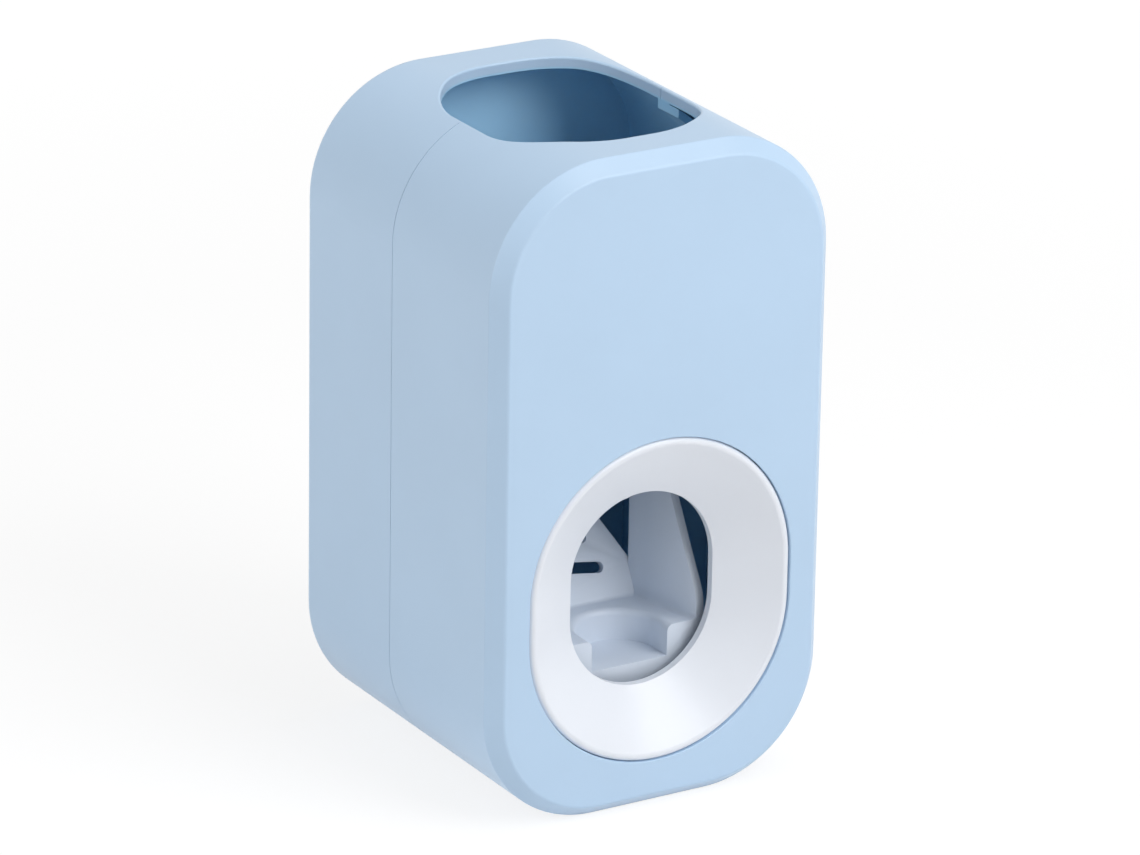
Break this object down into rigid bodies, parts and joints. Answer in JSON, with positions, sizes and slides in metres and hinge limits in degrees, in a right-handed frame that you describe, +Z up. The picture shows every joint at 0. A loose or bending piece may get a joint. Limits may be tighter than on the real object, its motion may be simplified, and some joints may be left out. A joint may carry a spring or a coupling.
{
  "type": "toothpaste dispenser",
  "caption": "Wall-mounted toothpaste dispenser: a round-cornered housing with an open top for the tube and a funnel port where a pushed brush works a lever-driven pump.",
  "frame": {"origin": "middle of the housing's outline, on the level of its underside", "axes": "+X to the right as seen from the front, +Y to the back towards the wall, +Z up"},
  "size_m": [0.07, 0.069, 0.125],
  "materials": {
    "shell_blue": "pale blue moulded plastic with a soft satin sheen",
    "port_white": "polished white plastic",
    "lever_white": "fine-grained white plastic",
    "frame_white": "plain white moulding",
    "bush_grey": "low-friction grey plastic",
    "bracket_white": "plain white moulding",
    "pad_grey": "soft grey rubber",
    "silicone": "milky silicone",
    "adhesive_grey": "grey adhesive foam",
    "steel": "plain steel"
  },
  "bodies": {
    "housing": {"rear_shell": "shell_blue", "pump_frame": "frame_white", "frame_screws": "steel", "inlet_collar": "frame_white", "tube_seal": "silicone", "inlet_valve": "silicone", "squeeze_bulb": "silicone", "upper_bulb_clamp": "steel", "lower_bulb_clamp": "steel", "outlet_elbow": "frame_white", "nozzle_valve": "silicone", "pivot_pin": "steel", "pivot_clips": "steel", "return_spring": "steel"},
    "lever": {"push_lever": "lever_white", "press_pad": "pad_grey", "pivot_bushes": "bush_grey"},
    "front_cover": {"front_shell": "shell_blue", "brush_port": "port_white"},
    "wall_plate": {"wall_bracket": "bracket_white", "adhesive_pad": "adhesive_grey"}
  },
  "joints": [
    {"name": "lever_push", "type": "hinge", "parent": "housing", "child": "lever", "pos_m": [0, -0.009, 0.0942], "axis": [1, 0, 0], "range_deg": [0, 14], "stiffness_Nm_per_rad": 0.6, "springref_deg": -8.59, "deforming": ["squeeze_bulb", "return_spring"]},
    {"name": "cover_pull", "type": "slide", "parent": "housing", "child": "front_cover", "axis": [0, -1, 0], "range_m": [0, 0.04]},
    {"name": "bracket_unhook", "type": "slide", "parent": "housing", "child": "wall_plate", "axis": [0, 0, -1], "range_m": [0, 0.007]}
  ]
}
